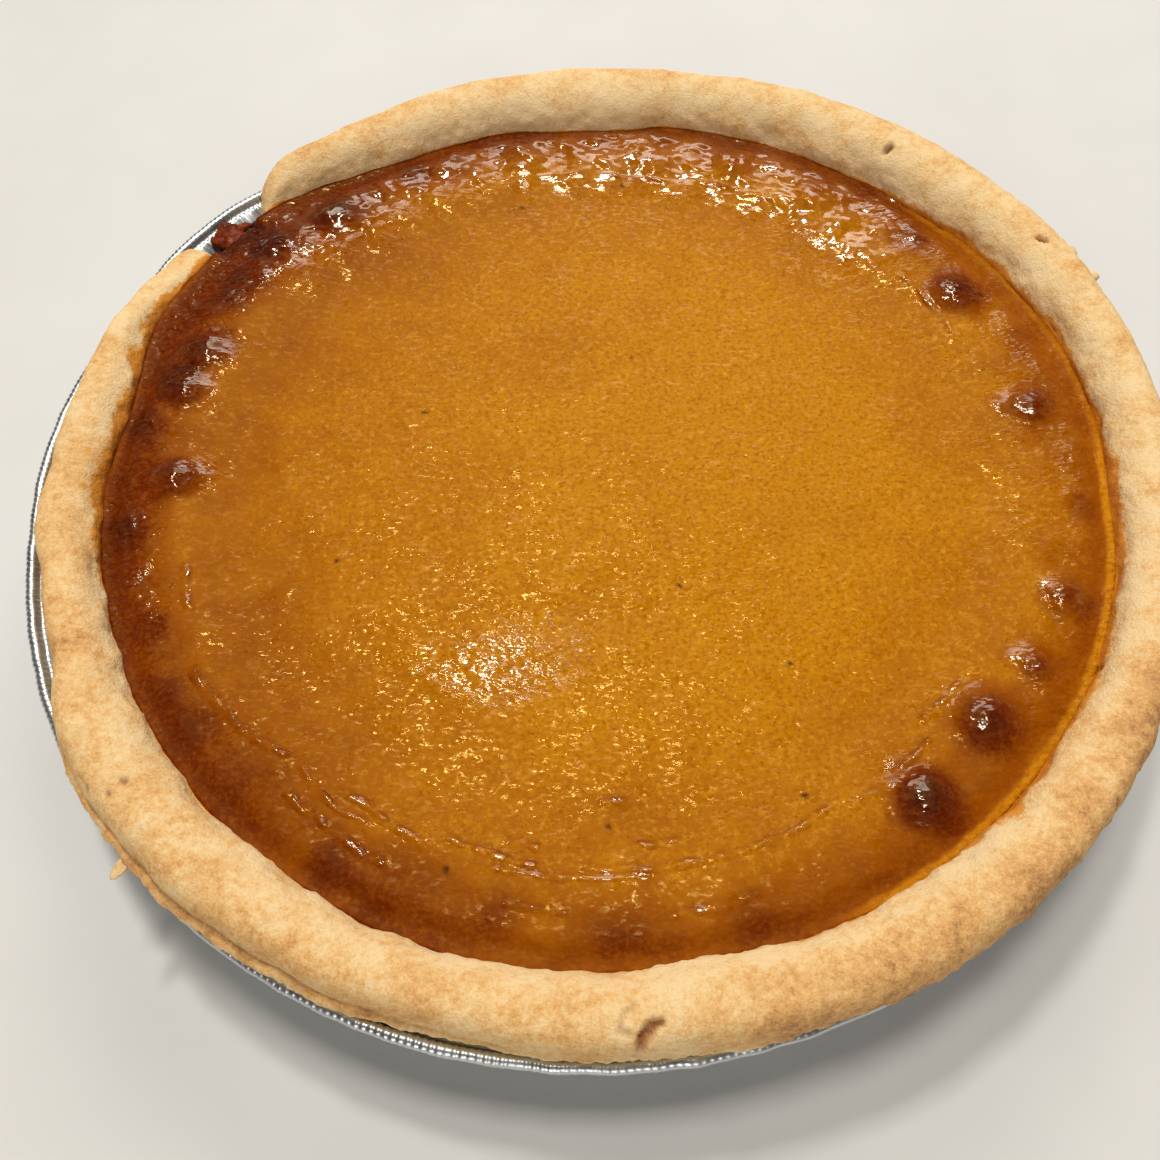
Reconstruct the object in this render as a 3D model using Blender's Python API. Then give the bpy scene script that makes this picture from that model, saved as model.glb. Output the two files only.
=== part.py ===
"""Whole baked pumpkin pie in its own round foil tin.

Metres, +Z up. The origin is the centre of the tin's flat base, and +Y points away from the
side that the pie is seen from. Three solids stand in each other: the foil tin, the pastry
shell with its rolled rim, and the filling that has set in the shell. Heights given from the
rim are above the top of the tin's rolled bead. Angles are in degrees, from +X towards +Y.
"""

import math

import bmesh
import bpy
from mathutils import Vector, noise

MM = 0.001

# Foil tin
TIN_HEIGHT = 32.0 * MM
TIN_RADIUS = 152.5 * MM
BEAD_RADIUS = 1.5 * MM
FOIL = 0.4 * MM
TIN_BASE_RADIUS = 120.8 * MM
TIN_CORNER = (123.0 * MM, 1.6 * MM)
TIN_WALL_TOP_DEPTH = 1.7 * MM
TIN_WALL_TOP_RADIUS = 147.0 * MM
TIN_SHOULDER = (148.0 * MM, -1.1 * MM)
TIN_GROOVE = (149.0 * MM, -1.5 * MM)
EMBOSS_RADII = (98.0 * MM, 100.0 * MM, 103.0 * MM, 105.0 * MM)
EMBOSS_HEIGHT = 0.8 * MM
PLEATS = 60
PLEAT_DEPTH = 0.4 * MM

# Clearance between solids that touch
GAP = 0.35 * MM
PLEAT_GAP = 0.9 * MM

# Pastry shell, whose rim sits a little off the tin's axis
RIM_CENTRE = (2.7 * MM, 1.0 * MM)
RIM_INNER_RADIUS = 134.2 * MM
RIM_OUTER_RADIUS = 152.0 * MM
RIM_FULL_WIDTH = 17.8 * MM
FILLING_EDGE_HEIGHT = 1.6 * MM
CREASE_HEIGHT = 4.6 * MM
DOME_HEIGHT = 9.6 * MM
LIP_HEIGHT = 3.2 * MM
LIP_BOTTOM_HEIGHT = 1.7 * MM
INNER_ROUNDNESS = 2.0
OUTER_ROUNDNESS = 2.6
DOME_POINTS = 8
PASTRY = 3.2 * MM
SHELL_FLOOR_RADIUS = 119.4 * MM
SHELL_CORNER_RISE = 1.6 * MM
SEGMENTS = 2 * PLEATS
COARSE_RADIUS = 107.0 * MM

# Where the rim's inner edge bulges out or in: (angle, half width, amount in mm)
INNER_EDGE_BULGES = (
    (19, 26, 2.4),
    (70, 14, 0.6),
    (90, 12, -3.2),
    (145, 28, 7.6),
    (186, 12, 0.6),
    (252, 12, 0.8),
    (281, 8, -1.2),
    (338, 20, 0.4),
)
# The same for the rim's outer edge
OUTER_EDGE_BULGES = (
    (22, 16, 1.3),
    (48, 34, 3.2),
    (95, 30, 0.3),
    (121, 12, -1.2),
    (133, 8, 1.0),
    (174, 27, -2.8),
    (200, 12, -3.2),
    (224, 20, 3.4),
    (246, 12, 1.2),
    (256, 9, -0.8),
    (300, 14, 0.8),
)
# Where a folded lip shows below the dome: (angle, half width, how far it stands out in mm)
LIP_STEPS = (
    (232, 34, 2.2),
    (305, 30, 1.6),
)
# Where the rim is lower: (angle, half width, share of the dome's height that is gone)
DOME_DROPS = (
    (145, 17, 0.78),
    (172, 22, 0.16),
)
LIP_DROP_SHARE = 0.65
LIP_STEP = 0.5 * MM
EDGE_WAVER = 0.6 * MM
DOME_WAVER = 0.5 * MM

# The notch where a piece of the rim is missing, about the tin's axis:
# (radius in mm, angle of its right side, angle of its left side)
NOTCH_FLOOR_DEPTH = 7.0 * MM
NOTCH_TOP_HEIGHT = 20.0 * MM
NOTCH_FLARE = 6.0 * MM
NOTCH_SIDES = (
    (131.0, 140.7, 144.4),
    (136.6, 139.9, 144.6),
    (141.2, 138.2, 144.9),
    (144.6, 136.5, 145.3),
    (147.5, 135.5, 146.0),
    (149.8, 134.6, 147.5),
    (152.0, 133.2, 151.4),
    (160.0, 129.4, 156.8),
)

# Torn pits in the rim: (angle, radius in mm, length, width, depth in mm, turn)
PITS = (
    (272.6, 147.4, 9.0, 3.0, 5.0, 52),
    (50.4, 140.9, 3.6, 2.4, 3.0, 70),
    (28.0, 147.0, 5.0, 2.0, 3.0, 35),
)
# Loose flakes that stand out from the rim: (angle, radius in mm, height in mm, length, width, turn)
FLAKES = (
    (26.2, 154.6, 3.6, 5.0, 2.4, 80),
    (21.0, 153.8, 3.4, 4.6, 2.2, 50),
    (225.4, 156.2, 2.6, 7.0, 2.2, 78),
)

# Filling
CENTRE_SINK = 1.4 * MM
PUFF_HEIGHT = 1.7 * MM
PUFF_START = 96.0 * MM
PUFF_END = 118.0 * MM
PUFF_FALL = 126.0 * MM
RING_FRACTIONS = (0.06, 0.2, 0.38, 0.52, 0.65, 0.74, 0.8, 0.85, 0.9, 0.945, 0.98, 1.0)
RING_COUNTS = (15, 15, 30, 60, 60, 120, 120, 120, 120, 120, 120, 120)
# Baked blisters on the filling: (angle, radius in mm, half width, height in mm)
BLISTERS = (
    (28.7, 119.1, 9.0, 2.6),
    (7.5, 118.7, 8.0, 2.2),
    (319.2, 119.4, 10.0, 3.0),
    (306.7, 120.9, 9.5, 2.8),
    (338.6, 123.8, 6.5, 1.4),
    (328.6, 121.7, 6.0, 0.9),
    (168.0, 121.2, 8.5, 2.0),
    (161.5, 120.6, 8.5, 2.0),
    (182.8, 116.0, 8.5, 2.4),
    (131.5, 123.9, 8.5, 2.0),
    (140.9, 131.3, 7.5, 1.6),
    (102.3, 119.6, 9.0, 1.8),
    (68.9, 121.2, 9.0, 1.6),
    (84.0, 123.0, 9.0, 1.3),
    (55.0, 121.0, 9.0, 1.3),
)
# Filling that set in the notch, as (radius in mm, height above the tin's rim in mm)
SPILL_SECTION = (
    (132.0, -6.0),
    (136.6, -6.0),
    (141.2, -6.0),
    (142.6, -6.0),
    (144.1, -4.2),
    (144.0, -3.5),
    (141.2, 0.0),
    (136.6, 0.9),
    (132.0, 1.2),
)
SPILL_SLICES = 8
SPILL_INSET = 0.35
# The burnt tongue that ran on over the foil's edge: (radius in mm, angle)
TONGUE_CORNERS = (
    (137.0, 140.4),
    (143.0, 139.7),
    (146.4, 139.9),
    (148.3, 139.8),
    (148.9, 140.9),
    (148.8, 142.0),
    (147.6, 142.9),
    (144.0, 143.6),
    (137.0, 144.1),
)
TONGUE_HEIGHTS = (-0.7 * MM, 0.9 * MM)


def direction(degrees):
    """Unit vector in the plan at an angle."""
    return Vector((math.cos(math.radians(degrees)), math.sin(math.radians(degrees)), 0.0))


def angle_between(a, b):
    """How far apart two angles in degrees are, from 0 to 180."""
    return abs((a - b + 180.0) % 360.0 - 180.0)


def rim_shift(degrees):
    """How much further from the tin's axis the rim lies at an angle, as it sits off centre."""
    return direction(degrees).dot(Vector((*RIM_CENTRE, 0.0)))


def rim_point(degrees, radius_mm, height):
    """A point given about the rim's own centre, at a height above the tin's rim."""
    plan = direction(degrees) * (radius_mm * MM)
    return plan + Vector((*RIM_CENTRE, TIN_HEIGHT + height))


def bulge(degrees, bulges):
    """The sum of flat-topped bulges at an angle, in the unit of their amounts."""
    total = 0.0
    for centre, half_width, amount in bulges:
        apart = angle_between(degrees, centre)
        if apart < half_width:
            swell = 0.5 + 0.5 * math.cos(math.pi * apart / half_width)
            total += amount * (1.0 - (1.0 - swell) ** 2)
    return total


def waver(degrees, cycles, seed):
    """A smooth uneven value from about -1 to 1 that closes on itself round the pie."""
    spot = direction(degrees) * cycles
    return 1.6 * noise.noise(Vector((spot.x, spot.y, seed)))


def inner_edge(degrees):
    """Radius from the tin's axis at which filling and pastry meet."""
    rough = 0.7 * waver(degrees, 4.0, 3.0) + 0.4 * waver(degrees, 11.0, 5.0)
    swell = bulge(degrees, INNER_EDGE_BULGES) * MM
    return RIM_INNER_RADIUS + rim_shift(degrees) + swell + rough * EDGE_WAVER


def outer_edge(degrees):
    """Radius from the tin's axis of the rim's outermost lip."""
    rough = 0.7 * waver(degrees, 5.0, 7.0) + 0.6 * waver(degrees, 17.0, 9.0)
    swell = bulge(degrees, OUTER_EDGE_BULGES) * MM
    return RIM_OUTER_RADIUS + rim_shift(degrees) + swell + rough * EDGE_WAVER


def lip_share(degrees):
    """How much of its full height the rim's lip has at an angle."""
    return 1.0 - LIP_DROP_SHARE * bulge(degrees, DOME_DROPS)


def from_rim(radius, height):
    """A section point (radius, height) with its height counted from the tin's rim."""
    return radius, TIN_HEIGHT + height


def dome_section(degrees):
    """The rounded top of the rim at an angle, from the filling's edge out to the crease."""
    inner = inner_edge(degrees)
    outer = outer_edge(degrees) - LIP_STEP - bulge(degrees, LIP_STEPS) * MM
    width = outer - inner
    height = DOME_HEIGHT * (width / RIM_FULL_WIDTH) ** 0.5 + DOME_WAVER * waver(degrees, 3.0, 13.0)
    height *= 1.0 - bulge(degrees, DOME_DROPS)
    crease = CREASE_HEIGHT * lip_share(degrees)
    points = []
    for k in range(DOME_POINTS + 1):
        turn = math.pi * k / DOME_POINTS
        power = 2.0 / (INNER_ROUNDNESS if turn < math.pi / 2 else OUTER_ROUNDNESS)
        across = 0.5 - 0.5 * math.copysign(abs(math.cos(turn)) ** power, math.cos(turn))
        floor = FILLING_EDGE_HEIGHT + (crease - FILLING_EDGE_HEIGHT) * across
        points.append(from_rim(inner + width * across, floor + height * math.sin(turn) ** power))
    return points


def clear_of_foil(radius):
    """A point of the pastry's underside at a radius, just clear of the tin's wall and edge."""
    path = (
        (TIN_CORNER[0] - PLEAT_GAP, TIN_CORNER[1] + 0.6 * MM),
        from_rim(TIN_WALL_TOP_RADIUS - PLEAT_GAP - 0.1 * MM, 0.3 * MM - TIN_WALL_TOP_DEPTH),
        from_rim(TIN_SHOULDER[0], TIN_SHOULDER[1] + GAP),
        from_rim(TIN_GROOVE[0], TIN_GROOVE[1] + 2.0 * GAP),
        from_rim(TIN_RADIUS - 2.6 * MM, GAP),
    )
    for (r0, z0), (r1, z1) in zip(path, path[1:]):
        if radius <= r1:
            return radius, z0 + (z1 - z0) * (radius - r0) / (r1 - r0)
    return path[-1]


def underside_section(degrees):
    """From the lip in under the rim, down the tin's wall and along its base, clear of the foil."""
    lip = outer_edge(degrees)
    share = lip_share(degrees)
    start, rise, fall, end = EMBOSS_RADII
    foil_top = FOIL + GAP
    return [
        from_rim(lip, LIP_HEIGHT * share),
        from_rim(lip - 0.4 * MM, LIP_BOTTOM_HEIGHT * share),
        clear_of_foil(min(TIN_RADIUS - 2.6 * MM, lip - 1.4 * MM)),
        clear_of_foil(min(TIN_GROOVE[0], lip - 2.2 * MM)),
        clear_of_foil(min(TIN_SHOULDER[0], lip - 2.8 * MM)),
        clear_of_foil(min(TIN_WALL_TOP_RADIUS - PLEAT_GAP - 0.1 * MM, lip - 3.4 * MM)),
        clear_of_foil(TIN_CORNER[0] - PLEAT_GAP),
        (TIN_BASE_RADIUS - 0.2 * MM, foil_top),
        (end + 0.5 * MM, foil_top),
        (fall + 0.4 * MM, foil_top + EMBOSS_HEIGHT),
        (rise - 0.4 * MM, foil_top + EMBOSS_HEIGHT),
        (start - 0.5 * MM, foil_top),
    ]


def shell_floor_height():
    """Height of the pastry's inside floor above the table."""
    return FOIL + GAP + PASTRY


def crust_section(degrees):
    """The pastry's outline from its inside floor over the rim to the middle of its underside."""
    floor = shell_floor_height()
    inside = [
        (SHELL_FLOOR_RADIUS, floor),
        (SHELL_FLOOR_RADIUS + 0.9 * MM, floor + SHELL_CORNER_RISE),
    ]
    return inside + dome_section(degrees) + underside_section(degrees)


def tin_section(degrees):
    """The foil's outline from its inside base over the bead to the middle of its underside."""
    start, rise, fall, end = EMBOSS_RADII
    corner_radius, corner_height = TIN_CORNER
    bead_centre = TIN_RADIUS - BEAD_RADIUS
    fold = PLEAT_DEPTH * math.cos(math.radians(degrees * PLEATS))
    inside = [
        (start, FOIL),
        (rise, FOIL + EMBOSS_HEIGHT),
        (fall, FOIL + EMBOSS_HEIGHT),
        (end, FOIL),
        (TIN_BASE_RADIUS, FOIL),
        (corner_radius + 0.5 * fold, corner_height),
        from_rim(TIN_WALL_TOP_RADIUS + 0.6 * fold, -TIN_WALL_TOP_DEPTH),
        from_rim(*TIN_SHOULDER),
        from_rim(*TIN_GROOVE),
    ]
    bead = []
    for turn in (165, 110, 55, 0, -55, -140):
        away = direction(turn) * BEAD_RADIUS
        bead.append(from_rim(bead_centre + away.x, away.y - BEAD_RADIUS))
    outside = [
        from_rim(TIN_GROOVE[0], TIN_GROOVE[1] - FOIL),
        from_rim(TIN_SHOULDER[0] + 0.1 * MM, TIN_SHOULDER[1] - FOIL),
        from_rim(TIN_WALL_TOP_RADIUS + FOIL + 0.6 * fold, -TIN_WALL_TOP_DEPTH - FOIL),
        (corner_radius + 0.7 * FOIL + 0.5 * fold, corner_height - 0.6 * FOIL),
        (TIN_BASE_RADIUS + 0.3 * FOIL, 0.0),
        (end, 0.0),
        (fall, EMBOSS_HEIGHT),
        (rise, EMBOSS_HEIGHT),
        (start, 0.0),
    ]
    return inside + bead + outside


def filling_height(point):
    """Height of the filling's top above the tin's rim at a point of the plan, away from its edge."""
    plan = Vector((point.x - RIM_CENTRE[0], point.y - RIM_CENTRE[1], 0.0))
    radius = plan.length
    rise = smooth_step(PUFF_START, PUFF_END, radius)
    fall = smooth_step(PUFF_FALL, RIM_INNER_RADIUS, radius)
    height = FILLING_EDGE_HEIGHT - CENTRE_SINK * (1.0 - rise) + PUFF_HEIGHT * rise * (1.0 - fall)
    for angle, distance, half_width, amount in BLISTERS:
        apart = (plan - direction(angle) * (distance * MM)).length / (half_width * MM)
        if apart < 1.0:
            height += amount * MM * (1.0 - apart * apart) ** 2
    return height + 0.35 * MM * noise.noise(plan * 38.0)


def smooth_step(low, high, value):
    """0 below low, 1 above high, and a smooth rise between them."""
    share = min(max((value - low) / (high - low), 0.0), 1.0)
    return share * share * (3.0 - 2.0 * share)


def filling_rings():
    """Rings of points from the middle of the filling's top to its edge, then down to its floor."""
    rings = []
    for fraction, count in zip(RING_FRACTIONS, RING_COUNTS):
        ring = []
        for k in range(count):
            degrees = 360.0 * k / count
            edge = inner_edge(degrees) - GAP
            plan = direction(degrees) * (edge * fraction)
            near_edge = smooth_step(0.9, 1.0, fraction)
            height = filling_height(plan) * (1.0 - near_edge) + FILLING_EDGE_HEIGHT * near_edge
            ring.append(plan + Vector((0.0, 0.0, TIN_HEIGHT + height)))
        rings.append(ring)
    floor = shell_floor_height() + GAP
    for radius, height in (
        (SHELL_FLOOR_RADIUS + 0.9 * MM - GAP, floor + SHELL_CORNER_RISE - GAP),
        (SHELL_FLOOR_RADIUS - GAP, floor),
    ):
        turns = [360.0 * k / SEGMENTS for k in range(SEGMENTS)]
        rings.append([direction(turn) * radius + Vector((0.0, 0.0, height)) for turn in turns])
    return rings


def rings_of(section):
    """Rings of points from one section outline for each angle, coarser near the axis."""
    turns = [360.0 * k / SEGMENTS for k in range(SEGMENTS)]
    outlines = [section(turn) for turn in turns]
    rings = []
    for places in zip(*outlines):
        ring = []
        for turn, (radius, height) in zip(turns, places):
            ring.append(direction(turn) * radius + Vector((0.0, 0.0, height)))
        rings.append(ring[::2] if places[0][0] < COARSE_RADIUS else ring)
    return rings


def stitch(bm, first, second):
    """Faces between two rings of vertices, of which one may have twice as many as the other."""
    if len(first) > len(second):
        first, second = second, first
    count = len(first)
    for k in range(count):
        after = (k + 1) % count
        if len(second) == count:
            bm.faces.new((first[k], first[after], second[after], second[k]))
            continue
        middle = second[2 * k + 1]
        bm.faces.new((first[k], middle, second[2 * k]))
        bm.faces.new((first[k], first[after], middle))
        bm.faces.new((first[after], second[(2 * k + 2) % len(second)], middle))


def loft(name, rings):
    """A closed solid through the rings, with its first and last ring filled."""
    bm = bmesh.new()
    made = [[bm.verts.new(point) for point in ring] for ring in rings]
    for first, second in zip(made, made[1:]):
        stitch(bm, first, second)
    bm.faces.new(made[0])
    bm.faces.new(made[-1])
    return finished(name, bm)


def finished(name, bm):
    """An object from a closed mesh, with its faces pointing out and split into triangles."""
    bmesh.ops.triangulate(bm, faces=bm.faces)
    bmesh.ops.recalc_face_normals(bm, faces=bm.faces)
    mesh = bpy.data.meshes.new(name)
    bm.to_mesh(mesh)
    bm.free()
    mesh.shade_smooth()
    mesh.set_sharp_from_angle(angle=math.radians(40))
    made = bpy.data.objects.new(name, mesh)
    bpy.context.scene.collection.objects.link(made)
    return made


def as_guide(made):
    """Marks an object that only cuts or adds to another."""
    made.hide_render = True
    made.display_type = "WIRE"
    return made


def combine(target, other, operation, solver="EXACT"):
    """Cuts a guide out of a solid, or joins it on."""
    change = target.modifiers.new(other.name, "BOOLEAN")
    change.operation = operation
    change.solver = solver
    change.object = other


def prism(name, corners, low, high, flare=0.0):
    """A solid with these corners in plan, which widens by flare from its bottom to its top."""
    middle = sum(corners, Vector()) / len(corners)
    bm = bmesh.new()
    bottom = [bm.verts.new(corner + Vector((0.0, 0.0, low))) for corner in corners]
    top = []
    for corner in corners:
        away = (corner - middle).normalized() * flare
        top.append(bm.verts.new(corner + away + Vector((0.0, 0.0, high))))
    stitch(bm, bottom, top)
    bm.faces.new(bottom)
    bm.faces.new(top)
    return as_guide(finished(name, bm))


def notch_side(radius_mm, column):
    """Angle of the notch's right (1) or left (2) side at a radius."""
    for before, after in zip(NOTCH_SIDES, NOTCH_SIDES[1:]):
        if radius_mm <= after[0]:
            share = (radius_mm - before[0]) / (after[0] - before[0])
            return before[column] + (after[column] - before[column]) * share
    return NOTCH_SIDES[-1][column]


def notch_cutter():
    """The space where a piece of the rim is missing."""
    right = [direction(row[1]) * (row[0] * MM) for row in NOTCH_SIDES]
    left = [direction(row[2]) * (row[0] * MM) for row in reversed(NOTCH_SIDES)]
    low = TIN_HEIGHT - NOTCH_FLOOR_DEPTH
    return prism("notch_cutter", right + left, low, TIN_HEIGHT + NOTCH_TOP_HEIGHT, NOTCH_FLARE)


def lump(name, place, sizes, turn):
    """A small rounded solid with these full sizes, turned in plan."""
    bm = bmesh.new()
    bmesh.ops.create_icosphere(bm, subdivisions=2, radius=0.5)
    for vert in bm.verts:
        vert.co *= 1.0 + 0.16 * noise.noise(vert.co * 3.0 + place * 90.0)
    bmesh.ops.scale(bm, vec=sizes, verts=bm.verts)
    made = as_guide(finished(name, bm))
    made.rotation_euler.z = math.radians(turn)
    made.location = place
    return made


def surface_height(degrees, radius_mm):
    """Height of the rim's top above the tin's rim, at a place given about the rim's centre."""
    plan = rim_point(degrees, radius_mm, 0.0)
    radius = math.hypot(plan.x, plan.y)
    points = dome_section(degrees)
    for (r0, z0), (r1, z1) in zip(points, points[1:]):
        if r0 <= radius <= r1:
            return z0 + (z1 - z0) * (radius - r0) / (r1 - r0) - TIN_HEIGHT
    return CREASE_HEIGHT


def make_crust():
    """The pastry shell, with its notch, torn pits and flakes."""
    crust = loft("crust", rings_of(crust_section))
    combine(crust, notch_cutter(), "DIFFERENCE", solver="MANIFOLD")
    for number, (angle, radius, length, width, depth, turn) in enumerate(PITS):
        place = rim_point(angle, radius, surface_height(angle, radius))
        sizes = (length * MM, width * MM, depth * MM)
        combine(crust, lump(f"pit_{number}", place, sizes, turn), "DIFFERENCE")
    for number, (angle, radius, height, length, width, turn) in enumerate(FLAKES):
        place = rim_point(angle, radius, height * MM)
        sizes = (length * MM, width * MM, 0.8 * width * MM)
        combine(crust, lump(f"flake_{number}", place, sizes, angle + turn - 90), "UNION")
    return crust


def spill():
    """Filling that set in the notch, between its sides and against the tin's wall."""
    bm = bmesh.new()
    slices = []
    for k in range(SPILL_SLICES + 1):
        corners = []
        for radius_mm, height_mm in SPILL_SECTION:
            right = notch_side(radius_mm, 1) + SPILL_INSET
            left = notch_side(radius_mm, 2) - SPILL_INSET
            plan = direction(right + (left - right) * k / SPILL_SLICES) * (radius_mm * MM)
            corners.append(bm.verts.new(plan + Vector((0.0, 0.0, TIN_HEIGHT + height_mm * MM))))
        slices.append(corners)
    for first, second in zip(slices, slices[1:]):
        stitch(bm, first, second)
    bm.faces.new(slices[0])
    bm.faces.new(slices[-1])
    return as_guide(finished("spill", bm))


def tongue():
    """The burnt end of the spill, which lies on the foil's edge."""
    corners = [direction(angle) * (radius_mm * MM) for radius_mm, angle in TONGUE_CORNERS]
    low, high = TONGUE_HEIGHTS
    return prism("tongue", corners, TIN_HEIGHT + low, TIN_HEIGHT + high)


def make_filling():
    """The set filling, with its blisters and the part that ran through the notch."""
    filling = loft("filling", filling_rings())
    combine(filling, spill(), "UNION")
    combine(filling, tongue(), "UNION")
    return filling


def make_tin():
    """The pleated foil tin with its rolled bead."""
    return loft("foil_tin", rings_of(tin_section))


def material(name, colour, roughness, metallic):
    """A plain surface with one colour."""
    made = bpy.data.materials.new(name)
    made.use_nodes = True
    shader = made.node_tree.nodes["Principled BSDF"]
    shader.inputs["Base Color"].default_value = (*colour, 1.0)
    shader.inputs["Roughness"].default_value = roughness
    shader.inputs["Metallic"].default_value = metallic
    return made


def clear_scene():
    """Removes every object of the open file."""
    for old in list(bpy.data.objects):
        bpy.data.objects.remove(old, do_unlink=True)


def main():
    """Builds the pie."""
    clear_scene()
    make_tin().data.materials.append(material("foil", (0.72, 0.73, 0.74), 0.3, 1.0))
    make_crust().data.materials.append(material("pastry", (0.78, 0.53, 0.26), 0.75, 0.0))
    make_filling().data.materials.append(material("baked_filling", (0.44, 0.16, 0.02), 0.35, 0.0))


main()
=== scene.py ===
"""Looks of a whole baked pumpkin pie in its foil tin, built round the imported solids.

Metres, +Z up, in the frame of the solids: the origin is the centre of the tin's base, and +Y
points away from the camera. Angles are in degrees, from +X towards +Y. Heights called rim
heights are above the top of the tin's rolled bead.
"""

import math

import bmesh
import bpy
import numpy as np
from mathutils import Matrix, Vector, noise


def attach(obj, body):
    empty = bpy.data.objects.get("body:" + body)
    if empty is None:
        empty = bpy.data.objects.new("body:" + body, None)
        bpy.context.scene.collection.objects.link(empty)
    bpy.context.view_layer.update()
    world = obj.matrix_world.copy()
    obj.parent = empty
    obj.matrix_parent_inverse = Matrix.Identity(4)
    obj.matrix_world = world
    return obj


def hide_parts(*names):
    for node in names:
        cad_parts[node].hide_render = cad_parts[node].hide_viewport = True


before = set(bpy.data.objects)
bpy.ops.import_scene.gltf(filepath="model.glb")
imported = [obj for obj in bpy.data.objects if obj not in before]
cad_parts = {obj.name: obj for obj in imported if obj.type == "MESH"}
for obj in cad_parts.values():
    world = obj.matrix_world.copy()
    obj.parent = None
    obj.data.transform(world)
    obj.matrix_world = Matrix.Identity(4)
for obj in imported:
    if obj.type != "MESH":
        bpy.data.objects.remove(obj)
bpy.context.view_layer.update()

MM = 0.001

# Camera, where the photograph was taken from, and lights
CAMERA_PLACE = (0.0, -0.17656, 0.28411)
CAMERA_TARGET = (-0.00427, -0.01795, 0.0)
CAMERA_ROLL = -1.94
CAMERA_LENS = 34.76
SENSOR_WIDTH = 36.0
LAMP_COLOUR = (1.0, 0.96, 0.88)
# Soft lamps that point at the pie: (name, place, width, height, power in watts)
LAMPS = (
    ("overhead_lamp", (0.02, 0.36, 2.38), 0.45, 0.45, 19.5),
    ("back_lamp", (-0.415, 1.43, 3.29), 0.40, 0.40, 43.0),
    ("window_lamp", (0.20, 1.80, 1.56), 1.50, 0.85, 22.0),
    ("front_fill", (-0.2, -1.9, 0.95), 1.0, 1.0, 11.0),
)
SURROUND_STRENGTH = 0.08
FLOOR_HALF_SIZE = 3.0

# Foil tin. Pairs are (radius, height), above the table for the corner and otherwise a rim height
TIN_HEIGHT = 32.0 * MM
TIN_RADIUS = 152.5 * MM
BEAD_RADIUS = 1.5 * MM
FOIL = 0.4 * MM
TIN_BASE_RADIUS = 120.8 * MM
TIN_CORNER = (123.0 * MM, 1.6 * MM)
TIN_WALL_TOP = (147.0 * MM, -2.4 * MM)
TIN_SHOULDER = (148.0 * MM, -1.8 * MM)
TIN_GROOVE = (149.0 * MM, -2.3 * MM)
EMBOSS_RADII = (98.0 * MM, 100.0 * MM, 103.0 * MM, 105.0 * MM)
EMBOSS_HEIGHT = 0.8 * MM
RIBS = 560
RIB_SAMPLES = 4
PLEATS = 140
WALL_SHARES = (0.25, 0.5, 0.75, 0.92)
BEAD_ANGLES = (170, 140, 110, 82, 54, 26, 0, -28, -60, -100, -140)
# Where the rim is bent outwards: (angle, half width, amount in mm)
RIM_BENDS = ((143, 12, 2.0), (176, 12, 0.8), (262, 30, 0.5))
# Where the ribs are pressed flat: (angle, half width, share)
FLAT_RIBS = ((296, 44, 0.7),)

# Pastry rim
GAP = 0.35 * MM
PLEAT_GAP = 0.9 * MM
RIM_CENTRE = (2.7 * MM, 1.0 * MM)
RIM_INNER_RADIUS = 134.2 * MM
RIM_OUTER_RADIUS = 152.0 * MM
RIM_FULL_WIDTH = 17.8 * MM
FILLING_EDGE_HEIGHT = 1.6 * MM
CREASE_HEIGHT = 4.6 * MM
DOME_HEIGHT = 9.6 * MM
LIP_HEIGHT = 3.2 * MM
LIP_BOTTOM_HEIGHT = 1.7 * MM
LIP_STEP = 0.5 * MM
INNER_ROUNDNESS = 2.0
OUTER_ROUNDNESS = 2.6
SHELL_FLOOR_RADIUS = 119.4 * MM
SHELL_FLOOR_HEIGHT = 3.95 * MM
SHELL_TOP_HEIGHT = -7.0 * MM
SHELL_CORNER = (120.3 * MM, 5.55 * MM)
UNDERSIDE_INNER_RADIUS = 141.0 * MM
# The pastry's underside, just clear of the tin: (radius, rim height)
UNDERSIDE = (
    (TIN_CORNER[0] - PLEAT_GAP, TIN_CORNER[1] + 0.6 * MM - TIN_HEIGHT),
    (TIN_WALL_TOP[0] - PLEAT_GAP - 0.1 * MM, TIN_WALL_TOP[1] + 0.3 * MM),
    (TIN_SHOULDER[0], TIN_SHOULDER[1] + GAP),
    (TIN_GROOVE[0], TIN_GROOVE[1] + 2.0 * GAP),
    (TIN_RADIUS - 2.6 * MM, GAP),
)
EDGE_WAVER = 0.6 * MM
DOME_WAVER = 0.5 * MM
# Where the rim's edges stand further out: (angle, half width, amount in mm)
INNER_EDGE_BULGES = (
    (19, 26, 2.4), (70, 14, 0.6), (90, 12, -3.2), (145, 28, 7.6), (186, 12, 0.6), (252, 12, 0.8),
    (281, 8, -1.2), (338, 20, 0.4),
)
OUTER_EDGE_BULGES = (
    (22, 16, 1.3), (48, 34, 3.2), (95, 30, 0.3), (121, 12, -1.2), (133, 8, 1.0), (174, 27, -2.8),
    (200, 12, -3.2), (224, 20, 3.4), (246, 12, 1.2), (256, 9, -0.8), (300, 14, 0.8),
)
# Where the ledge outside the dome is wider: (angle, half width, amount in mm)
LIP_STEPS = ((232, 34, 1.9),)
# Where the dome is lower, beside the notch: (angle, half width, share)
DOME_DROPS = ((145, 17, 0.78), (172, 22, 0.16))
LIP_DROP_SHARE = 0.65
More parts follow.
